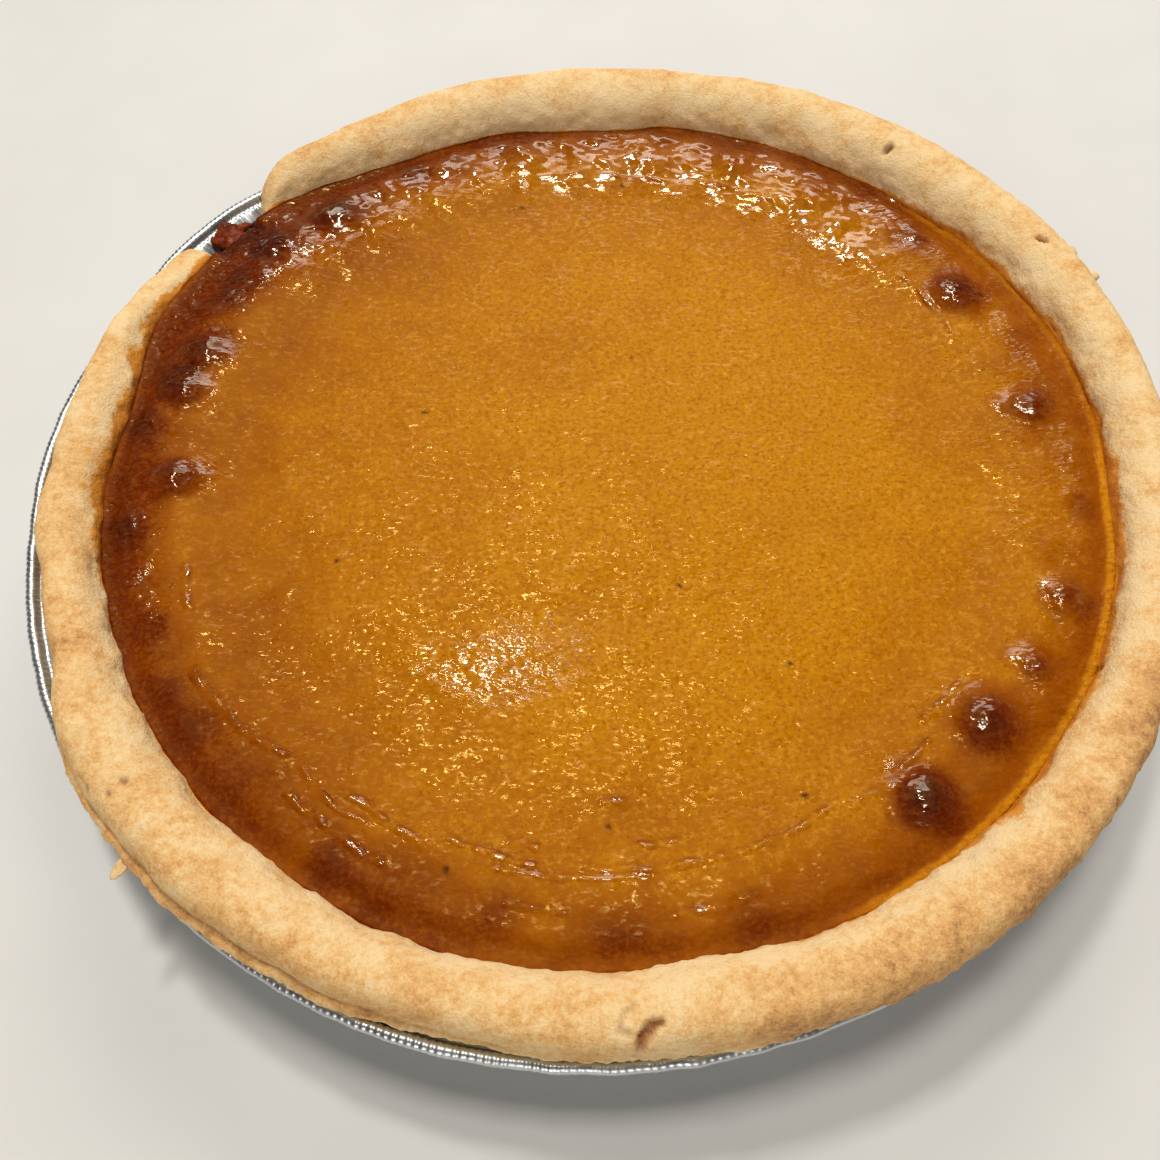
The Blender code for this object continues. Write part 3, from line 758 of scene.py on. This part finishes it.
def torn_pits(points, share):
    """Depth in mm of the pits at points of the rim, and how torn the pastry looks there."""
    depths, torn = np.zeros(len(points)), np.zeros(len(points))
    wobble = 0.175 * rough(points, 1.6 * MM, 18)
    top_only = 1.0 - smooth_step(*PIT_FADE, share)
    for spot, spot_radius, half_length, half_width, depth, turn in PITS:
        x0, y0 = rim_place(spot, spot_radius)
        lean = math.radians(spot + turn - 90.0)
        x, y = (points[:, 0] - x0) / MM, (points[:, 1] - y0) / MM
        lengthwise = (x * math.cos(lean) + y * math.sin(lean)) / half_length
        crosswise = (y * math.cos(lean) - x * math.sin(lean)) / half_width
        hole = (1.0 - smooth_step(0.55, 1.25, np.hypot(lengthwise, crosswise) + wobble)) * top_only
        depths += depth * hole
        torn = np.maximum(torn, hole * min(1.0, depth))
    return depths, torn


def make_rim(material):
    """The rolled pastry rim, which runs from the notch's left side round to its right side."""
    points, end_distance = swept_rim()
    columns, rows = end_distance.shape
    normal = np.cross(np.gradient(points, axis=1), np.gradient(points, axis=0))
    normal /= np.maximum(np.linalg.norm(normal, axis=2), 1e-12)[:, :, None]
    flat = points.reshape(-1, 3)
    place = np.tile(np.arange(rows), columns)
    share = np.clip((place - INSIDE_POINTS) / (TOP_POINTS - 1.0), 0.0, 1.0)
    shown = smooth_step(0.0, 0.03, share) * (place < INSIDE_POINTS + TOP_POINTS)
    end_share = smooth_step(0.0, 1.0, end_distance.reshape(-1) / (3.0 * MM))
    angle, _ = about_rim(flat)
    swirl = np.stack([np.radians(angle) * 19.0, share * 26.0, 0.0 * share], axis=1)
    lift = mixed(flat, RIM_LUMPS) + 0.22 * rough(swirl, 1.0, 15) * smooth_step(0.62, 0.78, share)
    lift *= 0.35 + 0.65 * end_share
    lift += mixed(flat, LIP_FRAY) * smooth_step(0.90, 0.97, share)
    lift += mixed(flat, INNER_FRAY) * (1.0 - smooth_step(0.10, 0.30, share))
    depths, torn = torn_pits(flat, share)
    flat = flat + normal.reshape(-1, 3) * ((lift - depths) * shown * MM)[:, None]
    faces = grid_faces(columns, rows) + end_caps(columns, rows)
    piece = new_piece("pastry_rim", flat, faces, material)
    brown_and_painted_light = 0.08 + 0.18 * smooth_step(0.25, 0.60, share) + 0.12 * smooth_step(0.72, 0.88, share)
    brown_and_painted_light += 0.10 * rough(flat, 24 * MM, 21)
    # Browning, and painted light that pales the near lip and outer wall
    for zone, across, amount in BROWN_AND_PAINTED_LIGHT_PLACES:
        brown_and_painted_light += amount * window(angle, *zone) * smooth_step(*across, share)
    paint(piece, "brown_and_painted_light", brown_and_painted_light)
    wide = (LEAST_STAIN + zones(angle, STAINS)) * (1.0 + 0.5 * rough(flat, 7 * MM, 22))
    paint(piece, "stain", 1.0 - share / np.maximum(1.6 * wide, 0.004))
    paint(piece, "torn", 0.85 * torn)
    return piece


def paint_plain(piece, brown_and_painted_light):
    """Paints a piece of pastry evenly, without a stain or a torn place."""
    for name, value in (("brown_and_painted_light", brown_and_painted_light), ("stain", 0.0), ("torn", 0.0)):
        paint(piece, name, np.full(len(piece.data.vertices), value))


def make_shell(material):
    """The pastry's wall and base below the rim, which the tin and the filling hide."""
    top = TIN_HEIGHT + SHELL_TOP_HEIGHT - 0.1 * MM
    corner = (TIN_CORNER[0] - PLEAT_GAP, TIN_CORNER[1] + 0.6 * MM)
    wall_top = (TIN_WALL_TOP[0] - PLEAT_GAP, TIN_HEIGHT + TIN_WALL_TOP[1] + 0.3 * MM)
    outside = np.interp(top, [corner[1], wall_top[1]], [corner[0], wall_top[0]])
    low, high = 0.75 * MM, 1.55 * MM
    section = (
        (0.5 * MM, SHELL_FLOOR_HEIGHT),
        (SHELL_FLOOR_RADIUS, SHELL_FLOOR_HEIGHT),
        SHELL_CORNER,
        (outside - 9.5 * MM, top),
        (outside, top),
        corner,
        (TIN_BASE_RADIUS - 0.2 * MM, low),
        (EMBOSS_RADII[3] + 0.5 * MM, low),
        (EMBOSS_RADII[2] + 0.4 * MM, high),
        (EMBOSS_RADII[1] - 0.4 * MM, high),
        (EMBOSS_RADII[0] - 0.5 * MM, low),
        (0.5 * MM, low),
    )
    faces = grid_faces(len(section), SHELL_SEGMENTS) + end_caps(len(section), SHELL_SEGMENTS)
    piece = new_piece("pastry_shell", turned(section, SHELL_SEGMENTS), faces, material)
    paint_plain(piece, 0.3)
    return piece


def lump_mesh(place, sizes, turn, seed, subdivisions=4):
    """Points and faces of a small rough rounded lump with these full sizes in millimetres."""
    bm = bmesh.new()
    bmesh.ops.create_icosphere(bm, subdivisions=subdivisions, radius=0.5)
    points = np.array([v.co[:] for v in bm.verts])
    faces = [tuple(v.index for v in f.verts) for f in bm.faces]
    bm.free()
    points *= (1.0 + 0.20 * rough(points, 0.45, seed) + 0.10 * rough(points, 0.2, seed + 1))[:, None]
    points *= np.array(sizes) * MM
    lean = math.radians(turn)
    spin = np.array([[math.cos(lean), math.sin(lean), 0], [-math.sin(lean), math.cos(lean), 0], [0, 0, 1]])
    return points @ spin + np.array(place), faces


def join_lumps(name, lumps, material):
    """One piece of several lumps."""
    points, faces = [], []
    for lump_points, lump_faces in lumps:
        start = len(points)
        points.extend(lump_points.tolist())
        faces.extend(tuple(start + k for k in face) for face in lump_faces)
    return new_piece(name, np.array(points), faces, material)


def make_flakes(material):
    """Loose flakes of pastry that stand out from the lip."""
    lumps = []
    for number, (angle, radius, height, length, width, turn) in enumerate(FLAKES):
        x, y = rim_place(angle, radius)
        place, sizes = (x, y, TIN_HEIGHT + height * MM), (length, width, 0.55 * width)
        lumps.append(lump_mesh(place, sizes, angle + turn - 90.0, FLAKE_SEED + number, 3))
    piece = join_lumps("pastry_flakes", lumps, material)
    paint_plain(piece, 0.0)
    return piece


# Filling


def filling_relief(points):
    """Rim height in mm of the filling's top at points of the plan, and how baked, rippled and wet it is; the baked
    value also holds painted shade along the creases.
    """
    angle, radius = about_rim(points)
    x, y = points[:, 0], points[:, 1]
    metres = radius * MM
    flat = np.stack([x, y, 0.0 * x], axis=1)
    rise = smooth_step(PUFF_START, PUFF_END, metres)
    fall = smooth_step(PUFF_FALL, RIM_INNER_RADIUS, metres)
    height = FILLING_EDGE_HEIGHT / MM - CENTRE_SINK / MM * (1.0 - rise) + PUFF_HEIGHT / MM * rise * (1.0 - fall)
    far, right, left = (window(angle, *zone) for zone in (FAR_SIDE, RIGHT_SIDE, LEFT_SIDE))
    side = np.maximum(right, left)
    ring = smooth_step(95, 120, radius) * (1.0 - smooth_step(129, 134, radius))
    outer = smooth_step(116, 124, radius)
    height += 0.30 * rough(flat, 26 * MM, 31) + 0.12 * rough(flat, 9 * MM, 32)
    height += ring * (0.25 + 0.75 * far) * rough(flat, 8 * MM, 33)
    height += ring * (0.10 + 0.22 * far) * rough(flat, 3.6 * MM, 34)
    swirl = np.stack([np.radians(angle) * 15.0, radius / 2.4, 0.0 * x], axis=1)
    height += ring * (0.04 + 0.24 * far) * rough(swirl, 1.0, 35)
    height += outer * (0.06 + 0.14 * np.maximum(side, far)) * rough(flat, 1.8 * MM, 36)
    height += 0.045 * rough(flat, 2.3 * MM, 37)
    baked_and_crease_shade = 0.05 + 0.16 * smooth_step(70, 108, radius) + 0.16 * smooth_step(112, 124, radius)
    baked_and_crease_shade += 0.10 * smooth_step(122, 132, radius) + 0.10 * rough(flat, 13 * MM, 38) * smooth_step(100, 120, radius)
    baked_and_crease_shade += 0.06 * rough(flat, 30 * MM, 39)
    baked_and_crease_shade += 0.12 * np.maximum(side - right, 0.8 * far) * smooth_step(119, 129, radius)
    baked_and_crease_shade += glow(x, y, PALE_AREA)
    baked_and_crease_shade += 0.12 * smooth_step(0.02, -0.09, x)
    baked_and_crease_shade -= 0.07 * right * smooth_step(112, 124, radius)
    uneven = 0.34 * rough(flat, 9 * MM, 40) + 0.14 * rough(flat, 3.5 * MM, 46)
    narrow = 8.0 * window(angle, 108, 150, 8)
    broad = smooth_step(90, 113, radius - narrow) * (1.0 - (1.0 - far) * smooth_step(130, 134, radius))
    wet = 0.21 + 0.70 * far * broad + 0.50 * side * outer
    wet += 0.24 * window(angle, *RIGHT_MIDDLE) * smooth_step(86, 106, radius) * (1.0 - outer)
    wet += sum(glow(x, y, area) for area in WET_AREAS)
    for spot, spot_radius, half_width, amount, dark in BLISTERS:
        x0, y0 = rim_place(spot, spot_radius)
        apart = np.hypot(x - x0, y - y0) / (half_width * MM)
        swell = np.clip(1.0 - apart * apart, 0.0, 1.0)
        apart = np.maximum(apart + 1.6 * uneven * (1.3 - dark), 0.0)
        height += 0.9 * amount * swell ** 1.7
        baked_and_crease_shade += dark * 0.72 * np.clip(1.0 - apart / 1.25, 0.0, 1.0) ** 1.1
        wet = np.maximum(wet, smooth_step(0.1, 0.7, swell))
        x1, y1 = rim_place(spot, spot_radius - 0.6 * half_width)
        inward = np.hypot(x - x1, y - y1 - 0.2 * half_width * MM) / (half_width * MM)
        wet = np.maximum(wet, 0.95 * np.exp(-(inward ** 2)))
    for spot, spot_radius, half_width, dark in PATCHES:
        x0, y0 = rim_place(spot, spot_radius)
        apart = np.hypot(x - x0, y - y0) / (half_width * MM) + 0.8 * uneven
        baked_and_crease_shade += 0.55 * dark * smooth_step(0.0, 1.0, 1.0 - apart)
    winding = 0.9 * rough(flat, 8 * MM, 41) + 0.30 * rough(flat, 2.2 * MM, 42)
    broken = np.clip(0.75 + 0.9 * rough(flat, 4 * MM, 43), 0.0, 1.3)
    for start, end, radius_from, radius_to, amount in CREASES:
        share = np.clip((angle - start) / (end - start), 0.0, 1.0)
        offset = radius - (radius_from + (radius_to - radius_from) * share + winding)
        strength = window(angle, start + 0.8, end - 0.8, 1.2) * broken
        fold = np.exp(-((offset / 0.75) ** 2)) - 0.7 * np.exp(-(((offset - 1.5) / 0.7) ** 2))
        height += 1.25 * amount * strength * fold
        # Painted shade: a thin dark line just inside each crease
        baked_and_crease_shade += 0.16 * strength * np.exp(-(((offset + 1.0) / 0.6) ** 2))
        wet = np.maximum(wet, strength * np.exp(-((offset / 1.6) ** 2)))
    rippled = 0.34 - 0.25 * far * broad + 0.30 * side * outer + glow(x, y, RIPPLED_AREA)
    rippled *= 1.0 + 0.7 * rough(flat, 9 * MM, 45)
    return height, baked_and_crease_shade, rippled, wet


def filling_rings():
    """Radius in mm and number of points of each ring on the filling's top, from the middle outwards."""
    limits, counts = zip(*RING_COUNTS)
    radii = []
    radius = RING_STEPS[0][1]
    for limit, step in RING_STEPS:
        while radius < limit:
            radii.append(radius)
            radius += step
    radii.append(limits[-1])
    return [(radius, counts[np.searchsorted(limits[:-1], radius, "right")]) for radius in radii]


def make_filling(material):
    """The set filling, with its blisters and the part that ran out through the notch."""
    ring_list = filling_rings()
    full, last_count = ring_list[-1]
    angles = np.arange(GRID) * 360.0 / GRID
    edges = np.array([inner_edge(a) for a in angles]) + 0.5 * MM
    rings = []
    for radius, count in ring_list:
        turn = np.arange(count) * 360.0 / count
        edge = np.interp(turn, angles, edges, period=360.0)
        edge += (SPILL_EDGE_RADIUS - edge) * window(turn, *SPILL_ZONE)
        # The rings are round in the middle and follow the rim's edge outwards
        stretch = edge / (full * MM)
        if radius <= RING_STEPS[0][0]:
            stretch = 1.0 + (stretch - 1.0) * smooth_step(20, 60, radius)
        rings.append(turned([(radius * MM * stretch, 0.0)], count))
    starts = np.cumsum([0] + [len(ring) for ring in rings]).tolist()
    points = np.concatenate(rings)
    height, baked_and_crease_shade, rippled, wet = filling_relief(points)
    turn, metres = polar(points)
    across = metres / np.interp(turn, angles, edges, period=360.0)
    degrees, _ = about_rim(points)
    far = window(degrees, *FAR_SIDE)
    near_edge = smooth_step(0.955 + 0.02 * far, 1.0, across)
    notch = window(turn, *SPILL_ZONE)
    height += (FILLING_EDGE_HEIGHT / MM + 0.6 - height) * near_edge
    spill = np.interp(metres / MM, *zip(*SPILL_SECTION)) + 0.25 * rough(points, 2.5 * MM, 44)
    height += (spill - height) * notch * smooth_step(128, 137, metres / MM)
    baked_and_crease_shade += 0.55 * notch * smooth_step(134, 142, metres / MM)
    calm = 1.0 - far * (1.0 - window(degrees, *BY_THE_NOTCH))
    wet *= 1.0 - 0.65 * calm * smooth_step(0.955, 0.985, across)
    fresh = zones(degrees, FRESH_EDGES) * (1.0 - notch)
    fresh *= smooth_step(0.979, 0.988, across + 0.003 * rough(points, 3 * MM, 47))
    baked_and_crease_shade += (0.04 - baked_and_crease_shade) * fresh
    points[:, 2] = TIN_HEIGHT + height * MM
    speck = np.zeros(len(points))
    for angle, radius, half_width in SPECKS:
        x0, y0 = rim_place(angle, radius)
        apart = np.hypot(points[:, 0] - x0, points[:, 1] - y0) / (half_width * MM)
        speck = np.maximum(speck, 1.0 - smooth_step(0.4, 1.3, apart))
    underside = ((SHELL_FLOOR_RADIUS + 0.5 * MM, 6.0 * MM), (SHELL_FLOOR_RADIUS - GAP, SHELL_FLOOR_HEIGHT + GAP))
    bottom = turned(underside, last_count)
    counts = [count for _, count in ring_list] + [last_count, last_count]
    starts.append(starts[-1] + last_count)
    faces = [tuple(range(counts[0]))]
    for k in range(len(counts) - 1):
        faces.extend(ring_faces(counts[k], starts[k], counts[k + 1], starts[k + 1]))
    total = len(points) + len(bottom)
    faces.append(tuple(total - 1 - k for k in range(last_count)))
    piece = new_piece("pie_filling", np.concatenate([points, bottom]), faces, material)
    hidden = np.zeros(len(bottom))
    paint(piece, "baked_and_crease_shade", np.concatenate([baked_and_crease_shade, hidden + 0.2]))
    for name, values in (("speck", speck), ("rippled", rippled), ("wet", wet)):
        paint(piece, name, np.concatenate([values, hidden]))
    return piece


def ring_faces(count, here, next_count, there):
    """Faces between two rings of points, of which the outer may have about twice as many."""
    if count == next_count:
        return [(here + k, there + k, there + (k + 1) % count, here + (k + 1) % count) for k in range(count)]
    faces = []
    step = 0
    for k in range(count):
        until = round((k + 1) * next_count / count)
        inner_next = here + (k + 1) % count
        middle = step + (until - step + 1) // 2
        for j in range(step, until):
            pivot = here + k if j < middle else inner_next
            faces.append((pivot, there + j % next_count, there + (j + 1) % next_count))
            if j + 1 == middle:
                faces.append((here + k, there + (j + 1) % next_count, inner_next))
        step = until
    return faces


def make_burnt(material):
    """Filling that ran over the foil's edge in the notch and burnt there."""
    lumps = []
    for number, (angle, radius, height, length, width, tall, turn) in enumerate(BURNT_LUMPS):
        away = direction(angle) * (radius * MM)
        place = (away.x, away.y, TIN_HEIGHT + height * MM)
        lumps.append(lump_mesh(place, (length, width, tall), angle + turn, BURNT_SEED + number))
    return join_lumps("burnt_filling", lumps, material)


# Tin


def make_tin(material):
    """The foil tin with its crimped bead and shoulder and its pleated wall."""
    segments = RIBS * RIB_SAMPLES
    turn = np.arange(segments) * 360.0 / segments
    rib = np.cos(np.radians(turn * RIBS))
    pleat = np.cos(np.radians(turn * PLEATS)) * (0.75 + 0.25 * np.array([waver(a, 9.0, 4.0) for a in turn]))
    bend = np.array([bulge(a, RIM_BENDS) for a in turn]) * MM
    kink = 0.18 * MM * np.array([waver(a, 26.0, 6.0) for a in turn])
    uneven = np.array([1.0 + 0.5 * waver(a, 40.0, 8.0) for a in turn])
    quiet = np.array([bulge(a, FLAT_RIBS) for a in turn])
    rib_mm = rib * uneven * (1.0 - quiet) * MM
    fold = 0.45 * pleat * MM
    start, rise, fall, end = EMBOSS_RADII
    corner_radius, corner_height = TIN_CORNER
    bead_centre = TIN_RADIUS - BEAD_RADIUS
    wall = []
    for share in WALL_SHARES:
        radius = corner_radius + (TIN_WALL_TOP[0] - corner_radius) * share
        height = corner_height + (TIN_HEIGHT + TIN_WALL_TOP[1] - corner_height) * share
        wall.append((radius + fold * (0.6 + 0.4 * share), height))
    edge = bend + kink * 0.5
    inside = [
        (start, FOIL),
        (rise, FOIL + EMBOSS_HEIGHT),
        (fall, FOIL + EMBOSS_HEIGHT),
        (end, FOIL),
        (TIN_BASE_RADIUS, FOIL),
        (corner_radius + 0.5 * fold, corner_height),
        *wall,
        (TIN_WALL_TOP[0] + edge + 0.5 * fold, TIN_HEIGHT + TIN_WALL_TOP[1] + 0.10 * rib_mm),
        (TIN_SHOULDER[0] - 0.3 * MM + edge, TIN_HEIGHT + TIN_SHOULDER[1] - 0.1 * MM + 0.22 * rib_mm),
        (TIN_SHOULDER[0] + 0.2 * MM + edge, TIN_HEIGHT + TIN_SHOULDER[1] + 0.22 * rib_mm),
        (TIN_GROOVE[0] + edge, TIN_HEIGHT + TIN_GROOVE[1] + 0.05 * rib_mm),
    ]
    bead = []
    for lean in BEAD_ANGLES:
        away = direction(lean)
        swell = BEAD_RADIUS + (0.12 if lean > 20 else 0.02) * rib_mm
        bead.append((bead_centre + edge + kink * 0.5 + away.x * swell, TIN_HEIGHT - BEAD_RADIUS + away.y * swell))
    outside = [
        (TIN_GROOVE[0] + edge, TIN_HEIGHT + TIN_GROOVE[1] - FOIL),
        (TIN_SHOULDER[0] + 0.1 * MM + edge, TIN_HEIGHT + TIN_SHOULDER[1] - FOIL + 0.2 * rib_mm),
        (TIN_WALL_TOP[0] + FOIL + edge + 0.5 * fold, TIN_HEIGHT + TIN_WALL_TOP[1] - FOIL),
        *[(radius + FOIL, height - 0.3 * MM) for radius, height in reversed(wall)],
        (corner_radius + 0.7 * FOIL + 0.5 * fold, corner_height - 0.6 * FOIL),
        (TIN_BASE_RADIUS + 0.3 * FOIL, 0.0),
        (end, 0.0),
        (fall, EMBOSS_HEIGHT),
        (rise, EMBOSS_HEIGHT),
        (start, 0.0),
    ]
    rings = inside + bead + outside
    flat = turned(rings, segments)
    crumple = 0.12 * rough(flat, 7 * MM, 71) + 0.06 * rough(flat, 3 * MM, 72)
    ring_number = np.repeat(np.arange(len(rings)), segments)
    on_wall = (ring_number > 5) & (ring_number < len(rings) - 6)
    _, radius = polar(flat)
    flat[:, :2] *= (1.0 + crumple * on_wall * MM / np.maximum(radius, 0.05))[:, None]
    faces = grid_faces(len(rings), segments) + end_caps(len(rings), segments)
    return new_piece("foil_tin_crimped", flat, faces, material)


# Stage


def make_camera():
    """The camera, where the photograph was taken from."""
    data = bpy.data.cameras.new("camera")
    data.lens = CAMERA_LENS
    data.sensor_width = SENSOR_WIDTH
    data.clip_start = 0.01
    camera = bpy.data.objects.new("camera", data)
    bpy.context.scene.collection.objects.link(camera)
    aim = Vector(CAMERA_TARGET) - Vector(CAMERA_PLACE)
    turn = aim.to_track_quat("-Z", "Y").to_matrix() @ Matrix.Rotation(math.radians(CAMERA_ROLL), 3, "Z")
    camera.matrix_world = Matrix.Translation(CAMERA_PLACE) @ turn.to_4x4()
    bpy.context.scene.camera = camera


def area_light(name, place, width, height, power):
    """A soft oblong light that points at the pie."""
    data = bpy.data.lights.new(name, "AREA")
    data.shape = "RECTANGLE"
    data.size, data.size_y = width, height
    data.energy = power
    data.color = LAMP_COLOUR
    light = bpy.data.objects.new(name, data)
    bpy.context.scene.collection.objects.link(light)
    light.location = place
    light.rotation_euler = (-Vector(place)).to_track_quat("-Z", "Y").to_euler()


def make_stage():
    """A plain pale floor, soft lights and a pale surround."""
    made = Surface("pale_floor", Roughness=0.55)
    colour = made.ramp(made.noise(60.0, 2.0), (0.3, srgb(222, 221, 220)), (0.7, srgb(227, 226, 225)))
    made.show("Base Color", colour)
    size = FLOOR_HALF_SIZE
    points = [(-size, -size, 0.0), (size, -size, 0.0), (size, size, 0.0), (-size, size, 0.0)]
    mesh = bpy.data.meshes.new("floor")
    mesh.from_pydata(points, [], [(0, 1, 2, 3)])
    floor = bpy.data.objects.new("floor", mesh)
    bpy.context.scene.collection.objects.link(floor)
    floor.data.materials.append(made.material)
    world = bpy.data.worlds.new("surround")
    world.use_nodes = True
    background = world.node_tree.nodes["Background"]
    background.inputs["Color"].default_value = (*LAMP_COLOUR, 1.0)
    background.inputs["Strength"].default_value = SURROUND_STRENGTH
    bpy.context.scene.world = world
    for lamp in LAMPS:
        area_light(*lamp)
    bpy.context.scene.view_settings.view_transform = "Standard"


def main():
    """Builds the pie's looks and the stage."""
    make_camera()
    pastry = pastry_material()
    custard = filling_material()
    rim = make_rim(pastry)
    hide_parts("crust")
    make_shell(pastry)
    make_flakes(pastry)
    filling = make_filling(custard)
    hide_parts("filling")
    make_burnt(burnt_material())
    tin = make_tin(foil_material())
    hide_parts("foil_tin")
    make_stage()


main()
